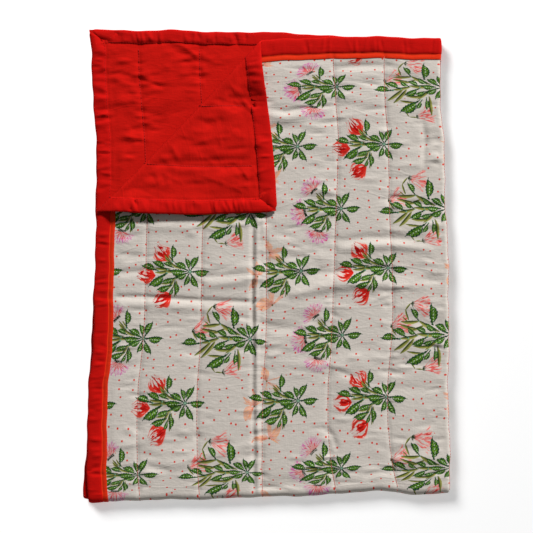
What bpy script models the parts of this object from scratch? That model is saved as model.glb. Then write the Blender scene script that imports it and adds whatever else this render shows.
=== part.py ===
"""A crib-size printed quilt, folded in four with its top corner turned back.

The quilt is modelled flat first, in its own flat coordinates:
    u  across the quilt, 0 on the lengthwise centre line
    v  along the quilt, 0 on the crosswise centre line
    n  out of the cloth, + on the printed face and - on the plain red back
Each piece is a flat solid in (u, v, n).  The solid is cut along the lines where
the cloth bends, and its corners are then carried through the folds:
    1  in half along u = 0, backs together, the fold at the right
    2  in half along v = 0, the lower half tucked under, the fold at the bottom
    3  the free corner of the top layer rolled back along a diagonal
The finished stack rests on z = 0, centred on x = y = 0.
"""
import math

import bmesh
import bpy
import numpy as np
from mathutils import Vector

# Flat sizes of the open quilt
QUILT_WIDTH = 1.00
QUILT_LENGTH = 1.30
CORNER_RADIUS = 0.012
CORNER_STEPS = 3

# Thickness of one layer of quilt, measured from its middle
CLEARANCE = 0.0003
PLY_INNER = 0.00015
PLY_OUTER_EDGE = 0.0014
LAYER_HALF = 0.0024

# Binding, wrapped round the raw edge, and the flat trim beside it
BINDING_FRONT = 0.018
BINDING_BACK = 0.021
BINDING_WEB = 0.0012
BINDING_BEVEL = 0.0020
BINDING_SHOULDER = 0.0016
TRIM_WIDTH = 0.006
TRIM_GAP = 0.0007
PAD_RISE = 0.006

# Folds: distance between the middles of two layers, and the bends that follow
LAYER_PITCH = 0.0052
SIDE_RADIUS = LAYER_PITCH / 2
END_RADIUS = LAYER_PITCH
ROLL_RADIUS = LAYER_PITCH / 2
BEND_STEPS = 6
STACK_MIDDLE = 1.5 * LAYER_PITCH + LAYER_HALF
TOP_LAYER = STACK_MIDDLE + 1.5 * LAYER_PITCH
TOP_LAYER_UNDERSIDE = TOP_LAYER - LAYER_PITCH / 2

# The turned-back corner: its crease lies at 45 degrees, this far from the centre
CREASE_REACH = 0.22147
ROLL_START = CREASE_REACH - ROLL_RADIUS - LAYER_HALF
UP_LEFT = np.array((-1.0, 1.0)) / math.sqrt(2.0)

# Straight runs between the bends and the free edges
SIDE_RUN = QUILT_WIDTH / 2 - math.pi * SIDE_RADIUS / 2
END_RUN = QUILT_LENGTH / 2 - math.pi * END_RADIUS / 2

# Cuts across the straight runs, as shares of a run
SIDE_CUTS = (0.14, 0.32, 0.5, 0.68, 0.84)
END_CUTS = (0.1, 0.22, 0.35, 0.5, 0.64, 0.78, 0.9)

# The folded outline.  Heights run from 0 at the bottom fold to 1 at the free
# edges, negative on the under layers; widths run from 0 at the right fold to 1.
RIGHT_EDGE = (
    (0.00, 0.2502), (0.22, 0.2474), (0.49, 0.2474), (0.64, 0.2432),
    (0.78, 0.2404), (0.88, 0.2363), (1.00, 0.2380),
)
LEFT_EDGE_OUTER = (
    (-1.00, -0.2400), (-0.55, -0.2395), (-0.34, -0.2430), (-0.13, -0.2490),
    (0.00, -0.2477), (0.05, -0.2493), (0.13, -0.2493), (0.22, -0.2472),
    (0.34, -0.2407), (0.56, -0.2379), (0.63, -0.2356), (0.72, -0.2386),
    (0.81, -0.2400), (0.90, -0.2386), (1.00, -0.2365),
)
LEFT_EDGE_INNER = (
    (-1.00, -0.2405), (-0.45, -0.2407), (-0.34, -0.2450), (-0.13, -0.2514),
    (-0.05, -0.2539), (0.00, -0.2555), (0.05, -0.2530), (0.22, -0.2470),
    (0.43, -0.2385), (0.62, -0.2368), (0.82, -0.2395), (0.90, -0.2436),
    (0.95, -0.2450), (1.00, -0.2485),
)
BOTTOM_EDGE = (
    (0.00, -0.3055), (0.09, -0.3070), (0.15, -0.3040), (0.31, -0.3065),
    (0.42, -0.3097), (0.70, -0.3139), (0.88, -0.3166), (1.00, -0.3180),
)
TOP_EDGE_UPPER = (
    (-1.00, 0.3281), (-0.89, 0.3262), (-0.75, 0.3296), (-0.60, 0.3267),
    (-0.42, 0.3253), (-0.18, 0.3185), (0.00, 0.3170), (0.18, 0.3180),
    (0.42, 0.3149), (0.51, 0.3085), (0.59, 0.3135), (0.68, 0.3184),
    (0.80, 0.3218), (0.90, 0.3246), (1.00, 0.3274),
)
TOP_EDGE_LOWER = (
    (-1.00, 0.3240), (-0.50, 0.3235), (0.00, 0.3165), (0.50, 0.3225),
    (1.00, 0.3245),
)

# Gentle rise and fall of the resting stack
UNEVEN_SHARE = 0.035
UNEVEN_WAVES = ((9.0, 5.0, 0.4), (-6.0, 11.0, 1.9), (15.0, -8.0, 3.1))

# Small move that puts the middle of the folded quilt on the origin
CENTRING = (0.00015, -0.000225)

PRINT_COLOUR = (0.46, 0.42, 0.37, 1.0)
BACK_COLOUR = (0.42, 0.010, 0.008, 1.0)
BINDING_COLOUR = (0.40, 0.008, 0.008, 1.0)
TRIM_COLOUR = (0.52, 0.040, 0.010, 1.0)


def clear_scene():
    """Empty the scene so that only the quilt is left in it."""
    for old in list(bpy.data.objects):
        bpy.data.objects.remove(old, do_unlink=True)


def smooth_curve(places, knots):
    """Read a smooth curve through the knots: cubic pieces with shared slopes."""
    stations, values = np.array(knots).T
    slopes = np.gradient(values, stations)
    places = np.clip(places, stations[0], stations[-1])
    left = np.clip(np.searchsorted(stations, places) - 1, 0, len(stations) - 2)
    span = stations[left + 1] - stations[left]
    t = (places - stations[left]) / span
    return (
        (2 * t**3 - 3 * t**2 + 1) * values[left]
        + (t**3 - 2 * t**2 + t) * span * slopes[left]
        + (3 * t**2 - 2 * t**3) * values[left + 1]
        + (t**3 - t**2) * span * slopes[left + 1]
    )


def hairpin(length, radius):
    """Position along and across a hairpin, and its outward direction.

    The bend is centred on length 0.  Positive lengths run back along the upper
    leg, negative ones along the lower leg, both towards negative 'along'.
    """
    angle = np.clip(length / radius, -math.pi / 2, math.pi / 2)
    straight = np.maximum(np.abs(length) - math.pi * radius / 2, 0.0)
    along = radius * np.cos(angle) - straight
    return along, radius * np.sin(angle), np.cos(angle), np.sin(angle)


def fold_in_four(flat):
    """Carry flat points (u, v, n) through both folds and into the outline."""
    u, v, n = flat.T
    side_along, side_rise, side_out, side_up = hairpin(u, SIDE_RADIUS)
    across = side_along + side_out * n
    offset = side_rise + side_up * n
    end_along, end_rise, end_out, end_up = hairpin(v, END_RADIUS)
    down = end_along + end_out * offset
    height = STACK_MIDDLE + end_rise + end_up * offset

    width_share = np.clip(-across / SIDE_RUN, 0.0, 1.1)
    height_share = np.clip(-down / END_RUN, 0.0, 1.1)
    signed_width = np.where(u > 0, width_share, -width_share)
    signed_height = np.where(v > 0, height_share, -height_share)

    right = smooth_curve(height_share, RIGHT_EDGE)
    left = np.where(
        u > 0,
        smooth_curve(signed_height, LEFT_EDGE_OUTER),
        smooth_curve(signed_height, LEFT_EDGE_INNER),
    )
    bottom = smooth_curve(width_share, BOTTOM_EDGE)
    top = np.where(
        v > 0,
        smooth_curve(signed_width, TOP_EDGE_UPPER),
        smooth_curve(signed_width, TOP_EDGE_LOWER),
    )
    x = right + width_share * (left - right) + np.maximum(across, 0.0)
    y = bottom + height_share * (top - bottom) - np.maximum(down, 0.0)
    return np.column_stack((x, y, height))


def roll_corner(points):
    """Roll what lies past the crease of the top layer up and back over itself."""
    reach = points[:, :2] @ UP_LEFT - ROLL_START
    rolled = (points[:, 2] > TOP_LAYER_UNDERSIDE) & (reach > 0)
    lift = points[:, 2] - TOP_LAYER
    angle = np.minimum(reach / ROLL_RADIUS, math.pi)
    past = np.maximum(reach - math.pi * ROLL_RADIUS, 0.0)
    new_reach = (ROLL_RADIUS - lift) * np.sin(angle) - past
    new_height = TOP_LAYER + ROLL_RADIUS - (ROLL_RADIUS - lift) * np.cos(angle)
    moved = points.copy()
    moved[:, :2] += ((new_reach - reach) * rolled)[:, None] * UP_LEFT
    moved[:, 2] = np.where(rolled, new_height, points[:, 2])
    return moved


def settle(points):
    """Let the stack rise and sink a little, in step through its layers, and centre it."""
    x, y, z = points.T
    wave = sum(np.sin(a * x + b * y + c) for a, b, c in UNEVEN_WAVES)
    settled = points.copy()
    settled[:, :2] += CENTRING
    settled[:, 2] = z * (1 + UNEVEN_SHARE * wave / len(UNEVEN_WAVES))
    return settled


def outline(inset):
    """Corners of the quilt's outline, moved in by a distance, as (u, v) pairs."""
    radius = max(CORNER_RADIUS - inset, CLEARANCE)
    centre_u = QUILT_WIDTH / 2 - inset - radius
    centre_v = QUILT_LENGTH / 2 - inset - radius
    points = []
    for quarter, (sign_u, sign_v) in enumerate(((1, 1), (-1, 1), (-1, -1), (1, -1))):
        for step in range(CORNER_STEPS + 1):
            angle = (quarter + step / CORNER_STEPS) * math.pi / 2
            points.append((
                sign_u * centre_u + radius * math.cos(angle),
                sign_v * centre_v + radius * math.sin(angle),
            ))
    return points


def flat_panel(side):
    """Flat cloth in the outline, side +1 for the face and -1 for the back.

    Its n runs from 0 on the inner side to 1 on the outer side until the
    thickness is given to it.
    """
    bm = bmesh.new()
    corners = outline(BINDING_WEB + CLEARANCE)
    sheet = bm.faces.new([bm.verts.new((u, v, 0.0)) for u, v in corners])
    raised = bmesh.ops.extrude_face_region(bm, geom=[sheet])["geom"]
    top = [item for item in raised if isinstance(item, bmesh.types.BMVert)]
    bmesh.ops.translate(bm, verts=top, vec=(0.0, 0.0, side))
    return bm


def flat_strip(section):
    """A strip carried round the outline; section is a loop of (inset, n)."""
    bm = bmesh.new()
    rings = [[bm.verts.new((u, v, n)) for u, v in outline(inset)] for inset, n in section]
    for ring, next_ring in zip(rings, rings[1:] + rings[:1]):
        for i, vert in enumerate(ring):
            j = (i + 1) % len(ring)
            bm.faces.new((vert, ring[j], next_ring[j], next_ring[i]))
    return bm


def cut(bm, point, normal, faces=None):
    """Add the edges where a plane crosses the mesh, or only some of its faces."""
    chosen = set(faces if faces is not None else bm.faces)
    edges = {edge for face in chosen for edge in face.edges}
    verts = {vert for edge in edges for vert in edge.verts}
    geometry = list(verts) + list(edges) + list(chosen)
    bmesh.ops.bisect_plane(bm, geom=geometry, plane_co=point, plane_no=normal, dist=1e-6)


def cut_lines(run, bend_radius, half_size, shares, edge_insets):
    """Where one flat direction is cut: bend, straight runs and edge steps."""
    bend = math.pi * bend_radius / 2
    lines = list(np.linspace(-bend, bend, BEND_STEPS + 1))
    for share in shares:
        lines += [bend + share * run, -bend - share * run]
    for inset in edge_insets:
        lines += [half_size - inset, inset - half_size]
    return lines


def give_thickness(points, side):
    """Thin cloth under the binding and trim, full thickness past them."""
    inset = np.minimum(
        QUILT_WIDTH / 2 - np.abs(points[:, 0]),
        QUILT_LENGTH / 2 - np.abs(points[:, 1]),
    )
    covered = BINDING_FRONT + TRIM_GAP + TRIM_WIDTH + CLEARANCE
    rise = np.clip((inset - covered) / PAD_RISE, 0.0, 1.0)
    outer = PLY_OUTER_EDGE + rise * (LAYER_HALF - PLY_OUTER_EDGE)
    share = np.abs(points[:, 2])
    thick = points.copy()
    thick[:, 2] = side * (PLY_INNER + share * (outer - PLY_INNER))
    return thick


def read_points(bm):
    """The mesh's points as one array."""
    return np.array([vert.co[:] for vert in bm.verts])


def write_points(bm, points):
    """Move the mesh's points to the rows of an array."""
    for vert, place in zip(bm.verts, points):
        vert.co = Vector(place)


def fold_piece(bm, name, colour, roughness, collection, side=0):
    """Cut a flat piece where it bends, fold it, and make it an object."""
    covered = BINDING_FRONT + TRIM_GAP + TRIM_WIDTH + CLEARANCE
    insets = (covered, covered + PAD_RISE) if side else ()
    for u in cut_lines(SIDE_RUN, SIDE_RADIUS, QUILT_WIDTH / 2, SIDE_CUTS, insets):
        cut(bm, (u, 0, 0), (1, 0, 0))
    for v in cut_lines(END_RUN, END_RADIUS, QUILT_LENGTH / 2, END_CUTS, insets):
        cut(bm, (0, v, 0), (0, 1, 0))
    points = read_points(bm)
    if side:
        points = give_thickness(points, side)
    write_points(bm, fold_in_four(points))

    direction = Vector((UP_LEFT[0], UP_LEFT[1], 0.0))
    for step in range(BEND_STEPS + 1):
        reach = ROLL_START + math.pi * ROLL_RADIUS * step / BEND_STEPS
        faces = [
            face for face in bm.faces
            if all(vert.co.z > TOP_LAYER_UNDERSIDE for vert in face.verts)
        ]
        cut(bm, direction * reach, direction, faces)
    bmesh.ops.triangulate(bm, faces=bm.faces)
    write_points(bm, settle(roll_corner(read_points(bm))))
    bmesh.ops.recalc_face_normals(bm, faces=bm.faces)

    mesh = bpy.data.meshes.new(name)
    bm.to_mesh(mesh)
    bm.free()
    material = bpy.data.materials.new(name)
    material.use_nodes = True
    shader = material.node_tree.nodes["Principled BSDF"]
    shader.inputs["Base Color"].default_value = colour
    shader.inputs["Roughness"].default_value = roughness
    mesh.materials.append(material)
    mesh.shade_smooth()
    mesh.set_sharp_from_angle(angle=math.radians(40))
    piece = bpy.data.objects.new(name, mesh)
    collection.objects.link(piece)
    return piece


def make_front(collection):
    """The printed face of the quilt, one whole cloth."""
    return fold_piece(flat_panel(1), "front_panel", PRINT_COLOUR, 0.9, collection, side=1)


def make_back(collection):
    """The plain red back of the quilt, one whole cloth."""
    return fold_piece(flat_panel(-1), "back_panel", BACK_COLOUR, 0.88, collection, side=-1)


def make_binding(collection):
    """Red binding that wraps the raw edge, mitred at the four corners."""
    face = PLY_OUTER_EDGE + CLEARANCE
    section = (
        (BINDING_FRONT, LAYER_HALF), (BINDING_BEVEL, LAYER_HALF),
        (0.0, BINDING_SHOULDER), (0.0, -BINDING_SHOULDER),
        (BINDING_BEVEL, -LAYER_HALF), (BINDING_BACK, -LAYER_HALF),
        (BINDING_BACK, -face), (BINDING_WEB, -face),
        (BINDING_WEB, face), (BINDING_FRONT, face),
    )
    return fold_piece(flat_strip(section), "binding", BINDING_COLOUR, 0.85, collection)


def make_trim(collection):
    """Narrow orange flange that shows beside the binding on the printed face."""
    near = BINDING_FRONT + TRIM_GAP
    far = near + TRIM_WIDTH
    low = PLY_OUTER_EDGE + CLEARANCE
    section = ((far, LAYER_HALF), (near, LAYER_HALF), (near, low), (far, low))
    return fold_piece(flat_strip(section), "flange", TRIM_COLOUR, 0.85, collection)


def main():
    """Build the quilt's four sewn pieces in one collection."""
    clear_scene()
    collection = bpy.data.collections.new("folded_printed_quilt")
    bpy.context.scene.collection.children.link(collection)
    make_front(collection)
    make_back(collection)
    make_binding(collection)
    make_trim(collection)


main()
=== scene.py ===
"""Folded printed quilt, seen from straight above with one corner turned back.

The cloths are grids in the quilt's own flat coordinates (u across, v along, n out of
the printed face), carried through the two folds and the turned-back corner that the
solid parts have, with the puckers and creases laid on in the quilt's own sizes.
"""
import math
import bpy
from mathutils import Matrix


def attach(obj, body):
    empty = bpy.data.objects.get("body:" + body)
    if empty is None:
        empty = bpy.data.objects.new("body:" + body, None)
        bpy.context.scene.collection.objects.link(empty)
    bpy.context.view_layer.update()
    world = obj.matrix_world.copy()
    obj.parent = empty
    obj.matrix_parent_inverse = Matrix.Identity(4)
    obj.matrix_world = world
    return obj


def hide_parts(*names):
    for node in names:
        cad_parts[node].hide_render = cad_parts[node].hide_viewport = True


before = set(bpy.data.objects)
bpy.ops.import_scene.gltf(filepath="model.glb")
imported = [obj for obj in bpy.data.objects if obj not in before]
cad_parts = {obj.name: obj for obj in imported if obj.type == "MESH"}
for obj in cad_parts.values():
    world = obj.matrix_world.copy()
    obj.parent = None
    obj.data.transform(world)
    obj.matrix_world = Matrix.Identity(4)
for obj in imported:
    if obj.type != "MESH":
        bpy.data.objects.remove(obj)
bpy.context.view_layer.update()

from types import SimpleNamespace

import bpy
import numpy as np

# --- Sizes shared with the solid parts, in metres -----------------------------------
QUILT_WIDTH = 1.00
QUILT_LENGTH = 1.30
CORNER_RADIUS = 0.012
LAYER_HALF = 0.0024
LAYER_PITCH = 0.0052
SIDE_RADIUS = LAYER_PITCH / 2
END_RADIUS = LAYER_PITCH
ROLL_RADIUS = LAYER_PITCH / 2
STACK_MIDDLE = 1.5 * LAYER_PITCH + LAYER_HALF
TOP_LAYER = STACK_MIDDLE + 1.5 * LAYER_PITCH
TOP_LAYER_UNDERSIDE = TOP_LAYER - LAYER_PITCH / 2
CREASE_REACH = 0.22147
ROLL_START = CREASE_REACH - ROLL_RADIUS - LAYER_HALF
UP_LEFT = np.array((-1.0, 1.0)) / math.sqrt(2.0)
SIDE_BEND = math.pi * SIDE_RADIUS / 2
END_BEND = math.pi * END_RADIUS / 2
SIDE_RUN = QUILT_WIDTH / 2 - SIDE_BEND
END_RUN = QUILT_LENGTH / 2 - END_BEND
UNEVEN_SHARE = 0.035
UNEVEN_WAVES = ((9.0, 5.0, 0.4), (-6.0, 11.0, 1.9), (15.0, -8.0, 3.1))
CENTRING = (0.00015, -0.000225)

# --- Cloth, binding and flange -----------------------------------------------------
CLOTH_INSET = 0.0016
CLOTH_AT_EDGE = 0.00135
CLOTH_FULL = 0.0023
PAD_START = 0.0270
PAD_RISE = 0.012
BINDING_FRONT = 0.0205
BINDING_BACK = 0.0210
FLANGE_EDGE = 0.0275
# How the length is taken up between the bottom fold and the top hem: share laid out
# flat, and the share of the folded height that it reaches
LENGTH_TAKEN = (
    (0.000, 0.000), (0.062, 0.043), (0.198, 0.197), (0.335, 0.338), (0.472, 0.485),
    (0.609, 0.619), (0.745, 0.760), (0.882, 0.889), (0.955, 0.949), (1.000, 1.000),
    (1.100, 1.100),
)

# --- The folded outline, as in the solid parts --------------------------------------
RIGHT_EDGE = (
    (0.00, 0.2502), (0.22, 0.2474), (0.49, 0.2474), (0.64, 0.2432),
    (0.78, 0.2404), (0.88, 0.2363), (1.00, 0.2380),
)
LEFT_EDGE_OUTER = (
    (-1.00, -0.2400), (-0.55, -0.2395), (-0.34, -0.2430), (-0.13, -0.2490),
    (0.00, -0.2477), (0.05, -0.2493), (0.13, -0.2493), (0.22, -0.2472),
    (0.34, -0.2407), (0.56, -0.2379), (0.63, -0.2356), (0.72, -0.2386),
    (0.81, -0.2400), (0.90, -0.2386), (1.00, -0.2365),
)
LEFT_EDGE_INNER = (
    (-1.00, -0.2405), (-0.45, -0.2407), (-0.34, -0.2450), (-0.13, -0.2514),
    (-0.05, -0.2539), (0.00, -0.2555), (0.05, -0.2530), (0.22, -0.2470),
    (0.43, -0.2385), (0.62, -0.2368), (0.82, -0.2395), (0.90, -0.2436),
    (0.95, -0.2450), (1.00, -0.2485),
)
BOTTOM_EDGE = (
    (0.00, -0.3055), (0.09, -0.3070), (0.15, -0.3040), (0.31, -0.3065),
    (0.42, -0.3097), (0.70, -0.3139), (0.88, -0.3166), (1.00, -0.3180),
)
TOP_EDGE_UPPER = (
    (-1.00, 0.3281), (-0.89, 0.3262), (-0.75, 0.3296), (-0.60, 0.3267),
    (-0.42, 0.3253), (-0.18, 0.3185), (0.00, 0.3180), (0.18, 0.3190),
    (0.42, 0.3170), (0.51, 0.3130), (0.59, 0.3150), (0.68, 0.3184),
    (0.80, 0.3218), (0.90, 0.3246), (1.00, 0.3274),
)
TOP_EDGE_LOWER = (
    (-1.00, 0.3240), (-0.50, 0.3235), (0.00, 0.3165), (0.50, 0.3225),
    (1.00, 0.3245),
)

# --- Quilting lines: (share of the length, distance from the quilt's middle line) -----
QUILTING_LINES = (
    ((0.00, 0.0724), (0.12, 0.0824), (0.40, 0.0780), (0.55, 0.0798), (0.75, 0.0786), (1.00, 0.0815)),
    ((0.00, 0.1580), (0.13, 0.1660), (0.30, 0.1646), (0.56, 0.1580), (0.80, 0.1495), (1.00, 0.1570)),
    ((0.00, 0.2590), (0.20, 0.2573), (0.60, 0.2565), (1.00, 0.2575)),
    ((0.00, 0.3464), (0.20, 0.3486), (0.60, 0.3470), (0.85, 0.3440), (1.00, 0.3450)),
    ((0.00, 0.4290), (0.13, 0.4310), (0.57, 0.4270), (0.85, 0.4310), (1.00, 0.4320)),
)
QUILTING_END = 0.0270

# --- Stitches ------------------------------------------------------------------------
STITCH_PITCH = 0.0039
STITCH_LENGTH = 0.0034
# Where a stitch is full, as a share of its length from its middle
STITCH_SHOULDER = 0.46
THREAD_RADIUS = 0.00052
THREAD_LIFT = 0.0001
BINDING_THREAD_RADIUS = 0.00026
BINDING_THREAD_SUNK = 0.0002
BINDING_STITCH_INSET = 0.0196
# A short step along the cloth or out of it, which gives its direction there
SHORT_STEP = 0.0005

# --- Spacing of the grids -------------------------------------------------------------
FINE_STEP = 0.0020
COARSE_STEP = 0.0100
BACK_CORNER_STEP = 0.0022
BACK_CORNER_ACROSS = 0.225
BACK_CORNER_ALONG = 0.340
STRIP_STEP = 0.0018
SIDE_FOLD_STEP = 0.0008
END_FOLD_STEP = 0.0014
BACK_SIDE_FOLD_STEP = 0.0010
BACK_END_FOLD_STEP = 0.0018
STRIP_CORNER_CLEAR = 0.0290
SMALLEST_CORNER = 0.0006
CORNER_POINTS = 8
FLOOR_GAP = 0.0001

# --- Relief: depths, widths, and the stretches over which it fades ---------------------
SEAM_DEPTH = 0.0013
SEAM_WIDTH = 0.0014
SEAM_OUTSIDE = 0.0003
MITRE_DEPTH = 0.0016
MITRE_WIDTH = 0.0016
DEEPEST = -0.0034
CREASE_STRENGTH = 1.5
PUCKER_STRENGTH = 1.7
GROOVE_NARROW = 0.0012
GROOVE_NARROW_WIDTH = 0.0026
GROOVE_WIDE = 0.0009
GROOVE_WIDE_WIDTH = 0.0110
QUILTING_FADE = (0.018, 0.026)
HEM_FADE = (0.026, 0.038)
HEM_SHARE = 0.3
SIDE_FOLD_FADE = (0.0, 0.012)
END_FOLD_FADE = (0.0, 0.015)
TOP_ROLL_FADE = (0.0, 0.014)
FLAP_ROLL_FADE = (0.0, 0.012)
SECOND_ROLL_FADE = (0.010, 0.030)
FLAP_LIFT_FADE = (0.0, 0.018)

# How far the upper end of the turned corner is drawn to the left, and over what reach
APEX_SHIFT = 0.0092
APEX_HEIGHT = 0.315
APEX_SPREAD = 0.120
APEX_RUN = 0.230
APEX_FADE = 0.040

# How far the second layer's top hem is drawn up, and its left end raised
HEM_PULL = 0.0060
HEM_PULL_REACH = 0.060
HEM_PULL_ACROSS = (0.10, 0.22)
CORNER_RAISE = 0.0045
CORNER_RAISE_ACROSS = (0.14, 0.245)

# Pleats across the hems: half length, width and depth from and to, how far they stray
# from the hem's middle, and how they turn
PLEAT_HALF = (0.008, 0.016)
PLEAT_WIDTH = (0.0011, 0.0030)
PLEAT_DEPTH = (0.0003, 0.0010)
PLEAT_STRAY = 0.002
PLEAT_TURN = 0.22
TOP_HEM_MIDDLE = 0.6385
SIDE_HEM_MIDDLE = 0.4885

# Puckers: the share that starts beside a quilting line, how near it, and the areas
# (left, right, bottom, top) where each showing layer has them
BESIDE_LINE_SHARE = 0.7
BESIDE_LINE_REACH = 0.012
TOP_AREA = (-0.22, 0.24, -0.31, 0.30)
FLAP_AREA = (-0.20, -0.005, 0.08, 0.30)
SECOND_AREA = (-0.235, -0.01, 0.08, 0.32)

# Size, pitch and start of the slow wavering of the edges, across and along the quilt,
# and where it grows from its inner share to the full one
WAVER_ACROSS = ((0.0007, 47.0, 0.4), (0.0005, 101.0, 2.1), (0.0003, 213.0, 1.2))
WAVER_ALONG = ((0.0008, 41.0, 1.9), (0.0005, 87.0, 0.3), (0.0003, 197.0, 2.8))
WAVER_INNER = 0.3
WAVER_RIM_ACROSS = (0.19, 0.235)
WAVER_RIM_ALONG = (0.26, 0.31)


def smooth_curve(places, knots):
    """Read a smooth curve through the knots: cubic pieces with shared slopes."""
    stations, values = np.array(knots).T
    slopes = np.gradient(values, stations)
    places = np.clip(places, stations[0], stations[-1])
    left = np.clip(np.searchsorted(stations, places) - 1, 0, len(stations) - 2)
    span = stations[left + 1] - stations[left]
    t = (places - stations[left]) / span
    return (
        (2 * t**3 - 3 * t**2 + 1) * values[left]
        + (t**3 - 2 * t**2 + t) * span * slopes[left]
        + (3 * t**2 - 2 * t**3) * values[left + 1]
        + (t**3 - t**2) * span * slopes[left + 1]
    )


def smooth_step(value, low, high):
    """0 below low, 1 above high, and a smooth S between them."""
    t = np.clip((value - low) / (high - low), 0.0, 1.0)
    return t * t * (3 - 2 * t)


def hairpin(length, radius):
    """Along and across a hairpin centred on length 0, and its outward direction."""
    angle = np.clip(length / radius, -math.pi / 2, math.pi / 2)
    straight = np.maximum(np.abs(length) - math.pi * radius / 2, 0.0)
    along = radius * np.cos(angle) - straight
    return along, radius * np.sin(angle), np.cos(angle), np.sin(angle)


def fold_in_four(u, v, n):
    """Carry flat points through both folds and into the folded outline."""
    side_along, side_rise, side_out, side_up = hairpin(u, SIDE_RADIUS)
    across = side_along + side_out * n
    offset = side_rise + side_up * n
    end_along, end_rise, end_out, end_up = hairpin(v, END_RADIUS)
    down = end_along + end_out * offset
    height = STACK_MIDDLE + end_rise + end_up * offset

    width_share = np.clip(-across / SIDE_RUN, 0.0, 1.1)
    height_share = np.clip(-down / END_RUN, 0.0, 1.1)
    height_share = smooth_curve(height_share, LENGTH_TAKEN)
    signed_width = np.where(u > 0, width_share, -width_share)
    signed_height = np.where(v > 0, height_share, -height_share)

    right = smooth_curve(height_share, RIGHT_EDGE)
    left = np.where(
        u > 0,
        smooth_curve(signed_height, LEFT_EDGE_OUTER),
        smooth_curve(signed_height, LEFT_EDGE_INNER),
    )
    bottom = smooth_curve(width_share, BOTTOM_EDGE)
    top = np.where(
        v > 0,
        smooth_curve(signed_width, TOP_EDGE_UPPER),
        smooth_curve(signed_width, TOP_EDGE_LOWER),
    )
    x = right + width_share * (left - right) + np.maximum(across, 0.0)
    y = bottom + height_share * (top - bottom) - np.maximum(down, 0.0)
    return x, y, height


def roll_corner(x, y, z, rise=0.0):
    """Roll what lies past the top layer's crease up and back over itself.

    The height z alone tells the layer; rise is the relief laid on it.
    """
    reach = x * UP_LEFT[0] + y * UP_LEFT[1] - ROLL_START
    rolled = (z > TOP_LAYER_UNDERSIDE) & (reach > 0)
    z = z + rise
    lift = z - TOP_LAYER
    angle = np.minimum(reach / ROLL_RADIUS, math.pi)
    past = np.maximum(reach - math.pi * ROLL_RADIUS, 0.0)
    new_reach = (ROLL_RADIUS - lift) * np.sin(angle) - past
    new_height = TOP_LAYER + ROLL_RADIUS - (ROLL_RADIUS - lift) * np.cos(angle)
    step = (new_reach - reach) * rolled
    return x + step * UP_LEFT[0], y + step * UP_LEFT[1], np.where(rolled, new_height, z)


# --- Creases: (points of the route), depth, width; + is a ridge and - a trough ------
TOP_CREASES = (
    # the sharp tuck that crosses the lower left channels
    (((-0.240, -0.0365), (-0.216, -0.0421), (-0.175, -0.0421), (-0.130, -0.0449),
      (-0.089, -0.0463), (-0.028, -0.0491), (-0.002, -0.0491)), -0.0020, 0.0036),
    (((-0.240, -0.0490), (-0.205, -0.0540), (-0.130, -0.0560), (-0.030, -0.0600)), 0.0012, 0.0070),
    # the long fold beside the middle quilting line
    (((-0.0190, 0.1100), (-0.0200, 0.0100), (-0.0195, -0.0900)), -0.0024, 0.0028),
    (((-0.0200, -0.0300), (-0.0190, -0.2000), (-0.0170, -0.3450)), -0.0012, 0.0030),
    (((-0.0125, 0.0710), (-0.0140, -0.0500), (-0.0125, -0.2000), (-0.0110, -0.3450)), 0.0015, 0.0030),
    # waves across the right-hand channels
    (((0.0310, -0.0395), (0.0720, -0.0300), (0.0990, -0.0260), (0.1280, -0.0245), (0.2230, -0.0247)),
     0.0022, 0.0080),
    (((0.0300, -0.0180), (0.0720, -0.0080), (0.1280, -0.0040), (0.2200, -0.0060)), -0.0018, 0.0075),
    (((0.0980, 0.0230), (0.1340, 0.0270), (0.1730, 0.0300), (0.2050, 0.0270), (0.2300, 0.0230)),
     0.0018, 0.0060),
    (((0.0980, 0.0350), (0.1400, 0.0410), (0.2200, 0.0370)), -0.0014, 0.0055),
    (((0.0080, 0.2180), (0.0300, 0.2150), (0.0500, 0.2200), (0.0730, 0.2260)), -0.0016, 0.0040),
    (((0.0100, 0.2080), (0.0300, 0.2050), (0.0600, 0.2110)), 0.0013, 0.0055),
    (((0.0890, 0.2760), (0.1300, 0.2790), (0.1860, 0.2770)), -0.0015, 0.0055),
    (((0.2170, 0.2060), (0.2190, 0.1700), (0.2170, 0.1370)), -0.0015, 0.0045),
    # short folds in the left channels
    (((-0.2150, -0.0100), (-0.1800, -0.0070), (-0.1400, -0.0030)), -0.0014, 0.0045),
    (((-0.2110, 0.0170), (-0.1900, 0.0150), (-0.1710, 0.0150)), -0.0013, 0.0045),
    (((-0.0880, -0.0150), (-0.0500, -0.0120), (-0.0200, -0.0100)), -0.0014, 0.0045),
    (((-0.0880, -0.0260), (-0.0500, -0.0230), (-0.0200, -0.0200)), 0.0012, 0.0055),
    # lower part
    (((0.0770, -0.2240), (0.0900, -0.2330), (0.0980, -0.2540)), -0.0012, 0.0040),
    (((0.1340, -0.2900), (0.1540, -0.2860), (0.1770, -0.2810)), -0.0011, 0.0045),
    (((-0.1710, -0.2770), (-0.1500, -0.2800), (-0.1340, -0.2830)), -0.0011, 0.0045),
    (((-0.0070, 0.0650), (-0.0030, 0.0550), (-0.0020, 0.0400)), 0.0016, 0.0060),
)
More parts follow.
